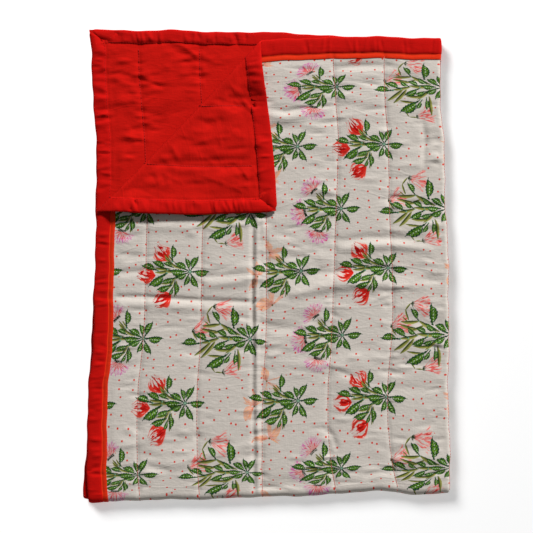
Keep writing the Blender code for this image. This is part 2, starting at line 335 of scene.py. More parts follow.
FLAP_CREASES = (
    (((-0.0290, 0.2320), (-0.0220, 0.2240), (-0.0130, 0.2140)), 0.0024, 0.0034),
    (((-0.1320, 0.1690), (-0.1180, 0.1440)), 0.0010, 0.0040),
    (((-0.0830, 0.2340), (-0.0500, 0.2310), (-0.0150, 0.2330)), -0.0012, 0.0040),
    (((-0.1500, 0.1440), (-0.0900, 0.1465), (-0.0150, 0.1490)), -0.0012, 0.0040),
    (((-0.0550, 0.1900), (-0.0350, 0.1850), (-0.0150, 0.1900)), 0.0009, 0.0070),
    (((-0.1000, 0.1200), (-0.0700, 0.1250), (-0.0350, 0.1200)), 0.0009, 0.0080),
    (((-0.1700, 0.1180), (-0.1300, 0.1150)), 0.0008, 0.0060),
)
SECOND_CREASES = (
    (((-0.1790, 0.2600), (-0.1740, 0.2570), (-0.1650, 0.2550)), -0.0007, 0.0020),
    (((-0.1760, 0.2550), (-0.1500, 0.2500), (-0.1300, 0.2480)), -0.0006, 0.0024),
    (((-0.1350, 0.3060), (-0.1200, 0.3030), (-0.1050, 0.2940), (-0.0930, 0.2840)), 0.0018, 0.0034),
    (((-0.2480, 0.3100), (-0.2350, 0.3060), (-0.2250, 0.3050)), -0.0016, 0.0030),
    (((-0.2330, 0.2300), (-0.2050, 0.2280), (-0.1800, 0.2300)), 0.0010, 0.0060),
    (((-0.2200, 0.1700), (-0.2000, 0.1720), (-0.1850, 0.1700)), -0.0009, 0.0050),
    (((-0.1700, 0.2000), (-0.1500, 0.1980), (-0.1350, 0.2000)), -0.0009, 0.0050),
)
# Places where the turned-back corner stands off: middle, spread, height
FLAP_LIFTS = (
    (-0.2050, 0.0780, 0.0500, 0.0260, 0.0065), (-0.1300, 0.0760, 0.0600, 0.0200, 0.0030),
    (0.0010, 0.2690, 0.0190, 0.0290, 0.0085),
)


def crease_height(x, y, creases):
    """Sum of soft troughs and ridges, each falling off with distance from its route."""
    height = np.zeros_like(x)
    for route, depth, width in creases:
        points = np.array(route)
        nearest = np.full_like(x, np.inf)
        share = np.zeros_like(x)
        count = len(points) - 1
        for i in range(count):
            start, run = points[i], points[i + 1] - points[i]
            t = ((x - start[0]) * run[0] + (y - start[1]) * run[1]) / (run @ run)
            t = np.clip(t, 0.0, 1.0)
            distance = np.hypot(x - start[0] - t * run[0], y - start[1] - t * run[1])
            closer = distance < nearest
            nearest = np.where(closer, distance, nearest)
            share = np.where(closer, (i + t) / count, share)
        taper = np.sqrt(np.clip(4 * share * (1 - share), 0.0, 1.0)) * 0.9 + 0.1
        height += depth * taper * np.exp(-((nearest / width) ** 2))
    return CREASE_STRENGTH * height


def pucker_strokes(seed, count, box, lengths, widths, depths, tilt, lines=()):
    """Scattered short strokes (x, y, angle, half length, width, depth) in a box.

    Where lines are given, most strokes are drawn in to start beside one of them.
    """
    dice = np.random.default_rng(seed)
    x = dice.uniform(box[0], box[1], count)
    y = dice.uniform(box[2], box[3], count)
    if len(lines):
        beside = dice.random(count) < BESIDE_LINE_SHARE
        near_line = dice.choice(lines, count) + dice.normal(0, BESIDE_LINE_REACH, count)
        x = np.where(beside, near_line, x)
    angle = dice.normal(0, tilt, count)
    half = dice.uniform(*lengths, count)
    width = dice.uniform(*widths, count)
    depth = dice.uniform(*depths, count) * dice.choice((-1.0, 1.0), count)
    return np.column_stack((x, y, angle, half, width, depth))


def hem_pleats(seed, count, spread_u, spread_v, middle, angle):
    """Short pleats across a hem, in flat places, spread along u or else along v."""
    dice = np.random.default_rng(seed)
    along = dice.uniform(*(spread_u or spread_v), count)
    middle = middle + dice.normal(0, PLEAT_STRAY, count)
    u, v = (along, middle) if spread_u else (middle, along)
    angle = angle + dice.normal(0, PLEAT_TURN, count)
    half = dice.uniform(*PLEAT_HALF, count)
    width = dice.uniform(*PLEAT_WIDTH, count)
    depth = dice.uniform(*PLEAT_DEPTH, count) * dice.choice((-1.0, 1.0), count)
    return np.column_stack((u, v, angle, half, width, depth))


def stroke_height(x, y, strokes):
    """Sum of straight soft strokes, each a bell across and fading to its ends."""
    height = np.zeros_like(x)
    for centre_x, centre_y, angle, half, width, depth in strokes:
        along = (x - centre_x) * math.cos(angle) + (y - centre_y) * math.sin(angle)
        across = (y - centre_y) * math.cos(angle) - (x - centre_x) * math.sin(angle)
        near = (np.abs(along) < half) & (np.abs(across) < 2.5 * width)
        fade = (1 - (along[near] / half) ** 2) ** 2
        height[near] += depth * fade * np.exp(-((across[near] / width) ** 2))
    return PUCKER_STRENGTH * height


# Pleats (u, v, angle, half length, width, depth) of the top hem, then of both side hems
HEM_PLEATS = np.vstack((
    hem_pleats(11, 120, (-0.49, 0.49), None, TOP_HEM_MIDDLE, 1.57),
    hem_pleats(12, 90, None, (0.01, 0.64), SIDE_HEM_MIDDLE, 0.0),
    hem_pleats(13, 80, None, (0.01, 0.64), -SIDE_HEM_MIDDLE, 0.0),
))
LINE_PLACES = tuple(0.2474 - np.mean([place for _, place in line]) for line in QUILTING_LINES)
TOP_PUCKERS = np.vstack((
    pucker_strokes(3, 420, TOP_AREA, (0.010, 0.030), (0.0020, 0.0042),
                   (0.0003, 0.0009), 0.12, LINE_PLACES + (0.244,)),
    pucker_strokes(4, 90, TOP_AREA, (0.030, 0.060), (0.005, 0.010),
                   (0.0004, 0.0010), 0.10),
))
FLAP_PUCKERS = np.vstack((
    pucker_strokes(5, 110, FLAP_AREA, (0.008, 0.020), (0.002, 0.004),
                   (0.0002, 0.0006), 1.57),
    pucker_strokes(6, 110, FLAP_AREA, (0.012, 0.040), (0.002, 0.005),
                   (0.0003, 0.0007), 0.3),
))
SECOND_WAVES = pucker_strokes(8, 60, SECOND_AREA, (0.020, 0.045), (0.007, 0.014),
                              (0.0003, 0.0009), 0.5)
FLAP_WAVES = pucker_strokes(9, 60, FLAP_AREA, (0.020, 0.045), (0.007, 0.014),
                            (0.0004, 0.0010), 0.4)
SECOND_PUCKERS = pucker_strokes(
    7, 260, SECOND_AREA, (0.008, 0.026), (0.0018, 0.0040),
    (0.0003, 0.0009), 0.15, (-0.178, -0.092, -0.222))


def quilting_groove(u, v):
    """Depth drawn down along the quilting lines, narrow at the thread, wide around it."""
    share = np.clip((np.abs(v) - END_BEND) / END_RUN, 0.0, 1.0)
    depth = np.zeros_like(u)
    for line in QUILTING_LINES:
        gap = np.abs(np.abs(u) - smooth_curve(share, line))
        narrow = GROOVE_NARROW * np.exp(-((gap / GROOVE_NARROW_WIDTH) ** 2))
        wide = GROOVE_WIDE * np.exp(-((gap / GROOVE_WIDE_WIDTH) ** 2))
        depth += narrow + wide
    return depth


def sewn_groove(u, v, n, inset):
    """Depth drawn down by quilting, binding seam and mitres, less the hem's pleats."""
    seam = np.where(n > 0, BINDING_FRONT, BINDING_BACK) + SEAM_OUTSIDE
    groove = quilting_groove(u, v) * smooth_step(inset, *QUILTING_FADE)
    groove += SEAM_DEPTH * np.exp(-(((inset - seam) / SEAM_WIDTH) ** 2))
    uneven = (QUILT_WIDTH / 2 - np.abs(u)) - (QUILT_LENGTH / 2 - np.abs(v))
    groove += MITRE_DEPTH * np.exp(-((uneven / MITRE_WIDTH) ** 2)) * (inset < seam)
    return groove - stroke_height(u, v, HEM_PLEATS)


def relief(u, v, n, x, y, z):
    """How far the upper face of each showing layer rises: n decides which face it is."""
    reach = x * UP_LEFT[0] + y * UP_LEFT[1] - ROLL_START
    bend = math.pi * ROLL_RADIUS
    top = (z > TOP_LAYER_UNDERSIDE) & (u > -SIDE_BEND)
    second = (u < -SIDE_BEND) & (v > END_BEND)
    front = np.clip(n / LAYER_HALF, 0.0, 1.2)
    back = np.clip(-n / LAYER_HALF, 0.0, 1.2)
    inset = np.minimum(QUILT_WIDTH / 2 - np.abs(u), QUILT_LENGTH / 2 - np.abs(v))
    groove = sewn_groove(u, v, n, inset)
    rise = np.zeros_like(x)

    flat_top = top & (reach < 0)
    near_fold = smooth_step(u, *SIDE_FOLD_FADE) * smooth_step(v, *END_FOLD_FADE)
    calm = smooth_step(-reach, *TOP_ROLL_FADE) * near_fold
    shape = crease_height(x, y, TOP_CREASES) + stroke_height(x, y, TOP_PUCKERS)
    shape = shape * (HEM_SHARE + (1 - HEM_SHARE) * smooth_step(inset, *HEM_FADE)) - groove
    rise += np.where(flat_top, front * calm * np.maximum(shape, DEEPEST), 0.0)

    flap_x, flap_y, _ = roll_corner(x, y, z)
    flap = top & (reach > bend)
    calm = smooth_step(reach - bend, *FLAP_ROLL_FADE)
    shape = crease_height(flap_x, flap_y, FLAP_CREASES)
    shape = shape + stroke_height(flap_x, flap_y, FLAP_PUCKERS)
    shape += stroke_height(flap_x, flap_y, FLAP_WAVES)
    rise -= np.where(flap, back * calm * np.maximum(shape - groove, DEEPEST), 0.0)

    calm = smooth_step(reach, *SECOND_ROLL_FADE)
    shape = crease_height(x, y, SECOND_CREASES) + stroke_height(x, y, SECOND_PUCKERS)
    shape += stroke_height(x, y, SECOND_WAVES)
    rise += np.where(second, back * calm * np.maximum(shape - groove, DEEPEST), 0.0)
    return rise


def flap_lift(flat_x, flat_y, layer, x, y):
    """How far the turned-back corner stands off the layer under it, place by place."""
    reach = flat_x * UP_LEFT[0] + flat_y * UP_LEFT[1] - ROLL_START - math.pi * ROLL_RADIUS
    turned = (layer > TOP_LAYER_UNDERSIDE) & (reach > 0)
    lift = np.zeros_like(x)
    for middle_x, middle_y, spread_x, spread_y, height in FLAP_LIFTS:
        away = ((x - middle_x) / spread_x) ** 2 + ((y - middle_y) / spread_y) ** 2
        lift += height * np.exp(-away)
    return np.where(turned, lift * smooth_step(reach, *FLAP_LIFT_FADE), 0.0)


def draw_apex(x, y, on_top):
    """The upper end of the turned corner, drawn to the left."""
    drawn = np.where(x < 0, np.clip(1 + x / APEX_RUN, 0.0, 1.0), np.exp(-((x / APEX_FADE) ** 2)))
    drawn = drawn * np.exp(-(((y - APEX_HEIGHT) / APEX_SPREAD) ** 2))
    return x - APEX_SHIFT * drawn * on_top


def draw_hem(u, v, x, y):
    """The second layer's top hem, drawn up, and its left end raised."""
    inset = QUILT_LENGTH / 2 - v
    past_binding = (inset - BINDING_BACK) / HEM_PULL_REACH
    pulled = np.where(inset < BINDING_BACK, inset / BINDING_BACK, np.exp(-(past_binding**2)))
    raised = smooth_step(-x, *CORNER_RAISE_ACROSS) * np.exp(-((inset / HEM_PULL_REACH) ** 2))
    second = smooth_step(-u, *HEM_PULL_ACROSS) * (v > END_BEND)
    return y + second * (HEM_PULL * pulled + CORNER_RAISE * raised)


def waver(x, y):
    """The edges' slow wavering, full at the rim and slight inside it."""
    across = sum(size * np.sin(pitch * y + start) for size, pitch, start in WAVER_ACROSS)
    along = sum(size * np.sin(pitch * x + start) for size, pitch, start in WAVER_ALONG)
    share_across = WAVER_INNER + (1 - WAVER_INNER) * smooth_step(np.abs(x), *WAVER_RIM_ACROSS)
    share_along = WAVER_INNER + (1 - WAVER_INNER) * smooth_step(np.abs(y), *WAVER_RIM_ALONG)
    return x + across * share_across, y + along * share_along


def place(u, v, n):
    """Flat points to the folded quilt, with its relief: an array of (x, y, z) rows."""
    u, v, n = np.broadcast_arrays(np.asarray(u, float), np.asarray(v, float), np.asarray(n, float))
    x, y, z = fold_in_four(u, v, n)
    rise = relief(u, v, n, x, y, z)
    flat_x, flat_y, layer = x, y, z
    x, y, z = roll_corner(x, y, z, rise)
    z = z + flap_lift(flat_x, flat_y, layer, x, y)
    x = draw_apex(x, y, layer > TOP_LAYER_UNDERSIDE)
    y = draw_hem(u, v, x, y)
    wave = sum(np.sin(a * x + b * y + c) for a, b, c in UNEVEN_WAVES)
    z = z * (1 + UNEVEN_SHARE * wave / len(UNEVEN_WAVES))
    x, y = waver(x, y)
    return np.column_stack((x.ravel() + CENTRING[0], y.ravel() + CENTRING[1], z.ravel()))


# --- Mesh making --------------------------------------------------------------------
def grid_faces(rows, columns, close_rows=False, close_columns=False):
    """Quads of a grid of points stored row by row, joined end to end where asked."""
    row = np.arange(rows if close_rows else rows - 1)[:, None]
    column = np.arange(columns if close_columns else columns - 1)[None, :]
    a = row * columns + column
    b = row * columns + (column + 1) % columns
    c = ((row + 1) % rows) * columns + (column + 1) % columns
    d = ((row + 1) % rows) * columns + column
    return np.stack((a, b, c, d), axis=-1).reshape(-1, 4)


def make_mesh(name, points, faces, flat=None):
    """A smooth-shaded mesh object from arrays, with its flat place as an attribute."""
    mesh = bpy.data.meshes.new(name)
    mesh.from_pydata(np.maximum(points, (-np.inf, -np.inf, FLOOR_GAP)), [], faces)
    mesh.shade_smooth()
    if flat is not None:
        attribute = mesh.attributes.new("flat", "FLOAT_VECTOR", "POINT")
        attribute.data.foreach_set("vector", np.ascontiguousarray(flat, dtype=np.float32).ravel())
    piece = bpy.data.objects.new(name, mesh)
    bpy.context.scene.collection.objects.link(piece)
    return piece


def spaced(*stretches):
    """Stations through stretches (start, end, step), each evenly divided."""
    runs = []
    for start, end, step in stretches:
        count = max(1, round(abs(end - start) / step))
        runs.append(np.linspace(start, end, count + 1)[:-1])
    return np.append(np.concatenate(runs), stretches[-1][1])


def cloth_offset(u, v):
    """How far a cloth lies from the layer's middle: thin at the edge, padded inside."""
    inset = np.minimum(QUILT_WIDTH / 2 - np.abs(u), QUILT_LENGTH / 2 - np.abs(v))
    rise = smooth_step(inset, PAD_START, PAD_START + PAD_RISE)
    return CLOTH_AT_EDGE + rise * (CLOTH_FULL - CLOTH_AT_EDGE)


def cloth_sheet(name, patches, side):
    """One sheet from patches of (u stations, v stations), side +1 face or -1 back."""
    points, faces, flat = [], [], []
    start = 0
    for across, along in patches:
        v, u = np.meshgrid(along, across, indexing="ij")
        n = side * cloth_offset(u, v)
        points.append(place(u.ravel(), v.ravel(), n.ravel()))
        quads = grid_faces(len(along), len(across)) + start
        faces.append(quads[:, ::-1] if side > 0 else quads)
        flat.append(np.column_stack((u.ravel(), v.ravel(), np.zeros(u.size))))
        start += u.size
    return make_mesh(name, np.vstack(points), np.vstack(faces), np.vstack(flat))


def outline_points(inset, step):
    """The quilt's outline moved in by a distance: (u, v) points with rounded corners.

    The stations are the same for every inset, so loops at different insets match.
    """
    half_u = QUILT_WIDTH / 2
    half_v = QUILT_LENGTH / 2
    radius = max(CORNER_RADIUS - inset, SMALLEST_CORNER)
    corner_u = half_u - inset - radius
    corner_v = half_v - inset - radius
    side_u = spaced(
        (-half_u, -SIDE_BEND, step), (-SIDE_BEND, SIDE_BEND, SIDE_FOLD_STEP), (SIDE_BEND, half_u, step))
    side_v = spaced(
        (-half_v, -END_BEND, step), (-END_BEND, END_BEND, END_FOLD_STEP), (END_BEND, half_v, step))
    side_u = side_u[np.abs(side_u) < half_u - STRIP_CORNER_CLEAR]
    side_v = side_v[np.abs(side_v) < half_v - STRIP_CORNER_CLEAR]
    arc = np.linspace(0, math.pi / 2, CORNER_POINTS)
    sides = ((1, 1, 0), (-1, 1, 1), (-1, -1, 2), (1, -1, 3))
    loop = []
    straight = (
        np.column_stack((side_u[::-1], np.full(len(side_u), half_v - inset))),
        np.column_stack((np.full(len(side_v), inset - half_u), side_v[::-1])),
        np.column_stack((side_u, np.full(len(side_u), inset - half_v))),
        np.column_stack((np.full(len(side_v), half_u - inset), side_v)),
    )
    for sign_u, sign_v, quarter in sides:
        angle = arc + quarter * math.pi / 2
        loop.append(np.column_stack((
            sign_u * corner_u + radius * np.cos(angle),
            sign_v * corner_v + radius * np.sin(angle),
        )))
        loop.append(straight[quarter])
    return np.vstack(loop)


def edge_strip(name, section, step):
    """A strip carried round the outline; section is a closed loop of (inset, n)."""
    loops = [outline_points(inset, step) for inset, _ in section]
    u = np.stack([loop[:, 0] for loop in loops], axis=1)
    v = np.stack([loop[:, 1] for loop in loops], axis=1)
    n = np.broadcast_to(np.array([height for _, height in section]), u.shape)
    points = place(u.ravel(), v.ravel(), n.ravel())
    faces = grid_faces(u.shape[0], u.shape[1], close_rows=True, close_columns=True)[:, ::-1]
    flat = np.column_stack((u.ravel(), v.ravel(), n.ravel()))
    return make_mesh(name, points, faces, flat)


def make_stitches(name, routes, lift, side, radius):
    """Short thread lozenges along routes of flat points, each two rings and two tips.

    A route is (u, v, turn_u, turn_v): the stitches' places, and the way the line runs.
    """
    ring = np.array([(0.0, 1.0), (1.0, 0.0), (0.0, -1.0), (-1.0, 0.0)])
    points, faces = [], []
    start = 0
    for u, v, turn_u, turn_v in routes:
        middle = place(u, v, np.full(u.shape, side * lift))
        ahead = place(
            u + turn_u * SHORT_STEP, v + turn_v * SHORT_STEP, np.full(u.shape, side * lift))
        out = place(u, v, np.full(u.shape, side * (lift + SHORT_STEP))) - middle
        along = ahead - middle
        along /= np.linalg.norm(along, axis=1)[:, None]
        out -= (out * along).sum(1)[:, None] * along
        out /= np.linalg.norm(out, axis=1)[:, None]
        across = np.cross(out, along)
        parts = [middle - along * STITCH_LENGTH / 2]
        for shift in (-STITCH_SHOULDER, STITCH_SHOULDER):
            for a, b in ring:
                parts.append(middle + along * STITCH_LENGTH * shift + radius * (a * across + b * out))
        parts.append(middle + along * STITCH_LENGTH / 2)
        block = np.stack(parts, axis=1)
        points.append(block.reshape(-1, 3))
        shape = []
        for i in range(4):
            j = (i + 1) % 4
            shape.append((0, 1 + i, 1 + j))
            shape.append((9, 5 + j, 5 + i))
            shape.append((1 + i, 5 + i, 5 + j))
            shape.append((1 + i, 5 + j, 1 + j))
        shape = np.array(shape)
        offsets = start + 10 * np.arange(len(u))[:, None, None]
        faces.append((shape[None] + offsets).reshape(-1, 3))
        start += 10 * len(u)
    return make_mesh(name, np.vstack(points), np.vstack(faces))


def quilting_routes():
    """Stations of the quilting stitches on all eleven lines of the open quilt."""
    end = QUILT_LENGTH / 2 - QUILTING_END
    along = np.arange(-end, end, STITCH_PITCH)
    share = np.clip((np.abs(along) - END_BEND) / END_RUN, 0.0, 1.0)
    routes = []
    for line in QUILTING_LINES:
        across = smooth_curve(share, line)
        for sign in (-1, 1):
            routes.append((sign * across, along, 0.0, 1.0))
    routes.append((np.zeros_like(along), along, 0.0, 1.0))
    return routes


def binding_routes(inset):
    """Stations of the stitch line that holds the binding, on the four sides."""
    half_u = QUILT_WIDTH / 2 - inset
    half_v = QUILT_LENGTH / 2 - inset
    across = np.arange(-half_u, half_u, STITCH_PITCH)
    along = np.arange(-half_v, half_v, STITCH_PITCH)
    return [
        (across, np.full_like(across, half_v), 1.0, 0.0),
        (across, np.full_like(across, -half_v), 1.0, 0.0),
        (np.full_like(along, half_u), along, 0.0, 1.0),
        (np.full_like(along, -half_u), along, 0.0, 1.0),
    ]


def make_pieces():
    """All the sewn pieces, finished meshes at the origin."""
    edge_u = QUILT_WIDTH / 2 - CLOTH_INSET
    edge_v = QUILT_LENGTH / 2 - CLOTH_INSET
    fine_u = spaced((-SIDE_BEND, SIDE_BEND, SIDE_FOLD_STEP), (SIDE_BEND, edge_u, FINE_STEP))
    fine_v = spaced((-END_BEND, END_BEND, END_FOLD_STEP), (END_BEND, edge_v, FINE_STEP))
    low_u = spaced((-edge_u, -SIDE_BEND, COARSE_STEP))
    low_v = spaced((-edge_v, -END_BEND, COARSE_STEP))
    back_u = spaced(
        (-edge_u, -BACK_CORNER_ACROSS, BACK_CORNER_STEP),
        (-BACK_CORNER_ACROSS, -SIDE_BEND, COARSE_STEP),
        (-SIDE_BEND, SIDE_BEND, BACK_SIDE_FOLD_STEP),
        (SIDE_BEND, BACK_CORNER_ACROSS, COARSE_STEP),
        (BACK_CORNER_ACROSS, edge_u, BACK_CORNER_STEP))
    back_v = spaced(
        (-edge_v, -END_BEND, COARSE_STEP),
        (-END_BEND, END_BEND, BACK_END_FOLD_STEP),
        (END_BEND, BACK_CORNER_ALONG, COARSE_STEP),
        (BACK_CORNER_ALONG, edge_v, BACK_CORNER_STEP))
    pieces = {}
    pieces["printed_top"] = cloth_sheet("printed_top", [(fine_u, fine_v)], 1)
    pieces["printed_under"] = cloth_sheet(
        "printed_under", [(low_u, np.concatenate((low_v[:-1], fine_v))), (fine_u, low_v)], 1)
    pieces["red_back"] = cloth_sheet("red_back", [(back_u, back_v)], -1)
    front = BINDING_FRONT
    back = BINDING_BACK
    binding_section = (
        (front + 0.0002, 0.00150), (front - 0.0002, 0.00190), (front - 0.0015, 0.00222),
        (front - 0.0040, 0.00240), (0.0130, 0.00246), (0.0095, 0.00246), (0.0060, 0.00238),
        (0.0030, 0.00205), (0.0012, 0.00150), (0.0003, 0.00080), (0.0000, 0.00000),
        (0.0003, -0.00080), (0.0012, -0.00150), (0.0030, -0.00205), (0.0065, -0.00238),
        (0.0105, -0.00246), (0.0140, -0.00246), (back - 0.0045, -0.00240),
        (back - 0.0018, -0.00222), (back - 0.0003, -0.00190), (back, -0.00150),
        (0.0120, -0.00146), (0.0014, -0.00140), (0.0014, 0.00140), (0.0100, 0.00146),
    )
    pieces["binding"] = edge_strip("binding_strip", binding_section, STRIP_STEP)
    edge = FLANGE_EDGE
    flange_section = (
        (edge, 0.00195), (edge - 0.0004, 0.00215), (edge - 0.0022, 0.00222),
        (front + 0.0020, 0.00210), (front + 0.0004, 0.00190), (front - 0.0030, 0.00160),
        (front - 0.0030, 0.00150), (front + 0.0015, 0.00150), (edge - 0.0006, 0.00155),
    )
    pieces["flange"] = edge_strip("flange_strip", flange_section, STRIP_STEP)
    lift = CLOTH_FULL + THREAD_LIFT
    for name, side in (("quilting_face", 1), ("quilting_back", -1)):
        pieces[name] = make_stitches(name, quilting_routes(), lift, side, THREAD_RADIUS)
    pieces["binding_stitches"] = make_stitches(
        "binding_stitches", binding_routes(BINDING_STITCH_INSET),
        LAYER_HALF - BINDING_THREAD_SUNK, -1, BINDING_THREAD_RADIUS)
    return pieces


# --- Shader maths -------------------------------------------------------------------
class Wire:
    """A socket of a node tree on which sums can be written; each adds its Math node."""

    def __init__(self, tree, socket):
        self.tree = tree
        self.socket = socket

    def maths(self, operation, *values):
        """One Math node over this socket and the values, in that order."""
        return sum_node(self.tree, operation, self, *values)

    def __add__(self, other):
        return self.maths("ADD", other)

    __radd__ = __add__

    def __sub__(self, other):
        return self.maths("SUBTRACT", other)

    def __rsub__(self, other):
        return sum_node(self.tree, "SUBTRACT", other, self)

    def __mul__(self, other):
        return self.maths("MULTIPLY", other)

    __rmul__ = __mul__

    def __truediv__(self, other):
        return self.maths("DIVIDE", other)

    def __gt__(self, other):
        return self.maths("GREATER_THAN", other)

    def __lt__(self, other):
        return self.maths("LESS_THAN", other)

    def __abs__(self):
        return self.maths("ABSOLUTE")

    def __pow__(self, other):
        return self.maths("POWER", other)

    def least(self, other):
        """The smaller of the two."""
        return self.maths("MINIMUM", other)

    def most(self, other):
        """The larger of the two."""
        return self.maths("MAXIMUM", other)

    def sine(self):
        """The sine of an angle in radians."""
        return self.maths("SINE")

    def ramp(self, low, high):
        """0 at low and 1 at high, straight between them and flat outside."""
        return add(self.tree, "ShaderNodeMapRange", {"clamp": True}, {
            "Value": self, "From Min": low, "From Max": high, "To Min": 0.0, "To Max": 1.0})


def link_or_set(tree, socket, value):
    """Feed a socket from a wire, or give it a plain value."""
    if isinstance(value, Wire):
        tree.links.new(value.socket, socket)
    else:
        socket.default_value = value


def add(tree, kind, settings=None, values=None, output=0):
    """Add a node: its settings first, then its sockets by name or number."""
    node = tree.nodes.new(kind)
    for name, setting in (settings or {}).items():
        setattr(node, name, setting)
    for name, value in (values or {}).items():
        link_or_set(tree, node.inputs[name], value)
    return Wire(tree, node.outputs[output])


def sum_node(tree, operation, *values):
    """One Math node; its sockets share a name, so they are fed by number."""
    return add(tree, "ShaderNodeMath", {"operation": operation}, dict(enumerate(values)))


def vector_node(tree, operation, *values, output=0):
    """One Vector Math node."""
    return add(tree, "ShaderNodeVectorMath", {"operation": operation}, dict(enumerate(values)), output)


def join(tree, x, y, z=0.0):
    """A vector from three values."""
    return add(tree, "ShaderNodeCombineXYZ", None, {"X": x, "Y": y, "Z": z})


def split(tree, vector):
    """The x and y of a vector."""
    node = tree.nodes.new("ShaderNodeSeparateXYZ")
    tree.links.new(vector.socket, node.inputs[0])
    return Wire(tree, node.outputs[0]), Wire(tree, node.outputs[1])


def blend(tree, share, first, second, kind="RGBA"):
    """first where share is 0, second where it is 1; for colours or vectors."""
    node = tree.nodes.new("ShaderNodeMix")
    node.data_type = kind
    slots = {"RGBA": (6, 7, 2), "VECTOR": (4, 5, 1)}[kind]
    link_or_set(tree, node.inputs[0], share)
    link_or_set(tree, node.inputs[slots[0]], first)
    link_or_set(tree, node.inputs[slots[1]], second)
    return Wire(tree, node.outputs[slots[2]])


def noise(tree, vector, scale, detail=2.0, roughness=0.5):
    """A noise value around 0.5."""
    values = {"Vector": vector, "Scale": scale, "Detail": detail, "Roughness": roughness}
    return add(tree, "ShaderNodeTexNoise", None, values)


def stretched(tree, vector, across, along):
    """The vector scaled by different amounts across and along the cloth."""
    return vector_node(tree, "MULTIPLY", vector, (across, along, 1.0))


def dye(shade):
    """A cloth or ink colour given as screen values from 0 to 255, made linear."""
    shares = [value / 255 for value in shade]
    return tuple(s / 12.92 if s <= 0.04045 else ((s + 0.055) / 1.055) ** 2.4 for s in shares) + (1.0,)


# --- The printed pattern, charted in millimetres ------------------------------------
TILE_ACROSS = 280.0
TILE_ALONG = 175.5
# Each spray: place of its star in the tile, and the middle of the spray from its star
SPRAYS = {
    "tulip": ((85.0, 135.4), (-21.0, -4.0)),
    "bell": ((278.6, 47.7), (-36.0, -1.0)),
    "puff": ((149.0, 47.7), (-22.0, -5.0)),
    "lily": ((208.0, 135.4), (-25.0, -8.0)),
}
# Leaves: base, tip, side of the round lobe (+1 clockwise of the leaf's direction)
STAR_LEAVES = (
    ((0, 0), (29, 0), 1), ((0, 0), (12.5, 23.5), -1), ((0, 0), (-6, 20.5), 1),
    ((0, 0), (-22.5, 13), 1), ((0, 0), (-30.5, -0.5), -1), ((0, 0), (-20.5, -10), -1),
    ((0, 0), (-8, -20), -1), ((0, 0), (12, -22.5), 1),
)
SHARED_LEAVES = STAR_LEAVES + (
    ((-25, 12), (-23.5, 38.5), 1), ((-30.5, 1.5), (-54, 14.5), 1), ((-21, 4), (-38.5, 12.4), 1),
    ((-43.5, 0.5), (-70, 8.5), 1), ((-31, -1.5), (-59, -21), -1), ((-19, -8.5), (-41, -15), -1),
    ((-23, -18), (-47.5, -25.5), -1), ((-21, -10), (-18.5, -32.5), -1), ((-23, -19), (-29, -33), -1),
)
BELL_LEAVES = (
    ((0, 0), (24.5, -5), 1), ((0, 0), (11.3, 20), -1), ((0, 0), (-5.7, 21.5), 1),
    ((0, 0), (-21.3, 16.3), 1), ((-3, 0), (-29, 2), -1), ((-1, 0), (-23, -11), -1),
    ((0, 0), (-8.2, -20.3), -1), ((0, 0), (8.8, -25), 1),
    ((-23.5, 8), (-24.8, 43.7), 1), ((-16.5, 3.6), (-34.4, 16.7), -1), ((-29, 1), (-47.3, 11), 1),
    ((-29, -0.7), (-53.4, -13.8), -1), ((-18.6, -6), (-38.5, -12), -1), ((-67.3, -6), (-97.7, -5.4), 1),
    ((-56, -4.2), (-80.3, 8), 1), ((-42.1, 18.5), (-54.8, 37.5), 1), ((-44, 0), (-60.3, 10.6), -1),
    ((-27.4, -18.9), (-61, -40.7), -1), ((-26.4, -19), (-36.6, -35.4), -1),
    ((-20.8, -15.4), (-20, -36.7), -1),
)
SHARED_BLADES = (
    ((-22, 12), (-31, 23)), ((-26, 13), (-36, 23)), ((-19, 5), (-36, 19)), ((-24, 2), (-50, 4)),
    ((-26, 0), (-50, -2)), ((-29, -1), (-46, -10)), ((-21, -10), (-34, -27)), ((-20, -11), (-24, -24)),
    ((-18, -12), (-21, -34)), ((-24, -15), (-41, -17)), ((-12, 3), (-30, 12)), ((-14, 0), (-42, 1)),
    ((-10, -3), (-28, -13)),
)
BELL_BLADES = (
    ((-41.3, 19.3), (-68.7, 16.7)), ((-34.3, 14), (-55.2, 6.3)), ((-53.4, -3.3), (-77.3, -23.4)),
    ((-48.2, -2.9), (-68.2, -26.8)), ((-24, -15.4), (-50.9, -14.6)), ((-37.8, -24.2), (-59.5, -22.4)),
    ((-16.5, -13.8), (-13.5, -44.2)), ((-57, 19), (-62.5, 35)), ((-62.5, 33), (-54, 43.5)),
    ((-57, 17), (-66, 24)), ((-54, -37), (-47, -46)), ((-47, -46), (-36, -47)), ((-14, -3), (-34, -20)),
    ((-12, 1), (-46, 2)), ((-42, 1), (-70, -6)), ((-14, 4), (-44, 20)), ((-44, 9), (-70, 13)),
    ((-74, -2), (-82, 9)),
)
# Flowers: base, direction in degrees, length
FLOWERS = {
    "tulip": (((-31, 14), 128, 26.5), ((-48.5, -6), 177, 24.5), ((-26, -30.5), 209, 25.5)),
    "bell": (((-54, 42.5), -8, 28.5), ((-83, 9), 22, 27.5), ((-37.5, -47), 17, 27.0)),
    "puff": (((-39.0, 26.5), 128, 18.5), ((-52.5, -3.0), 190, 21.0), ((-33.5, -31.5), 257, 19.5)),
    "lily": (((-44, 28.5), 25, 21.0), ((-61, -5), 153, 21.0), ((-40.3, -43.5), 100, 23.5)),
}
LEAF_SPREAD = 0.250
BLADE_SPREAD = 0.118
HEAD_SPREAD = 0.5
# Each kind of flower lies on a level of its own, and each level is far from the next
FLOWER_LEVELS = {"tulip": 0, "puff": 1, "lily": 2, "bell": 3}
FAR_AWAY = 1000.0
# How far the print's outlines wander, in millimetres, and how closely
PRINT_WANDER = 1.0
WANDER_SCALE = 0.35
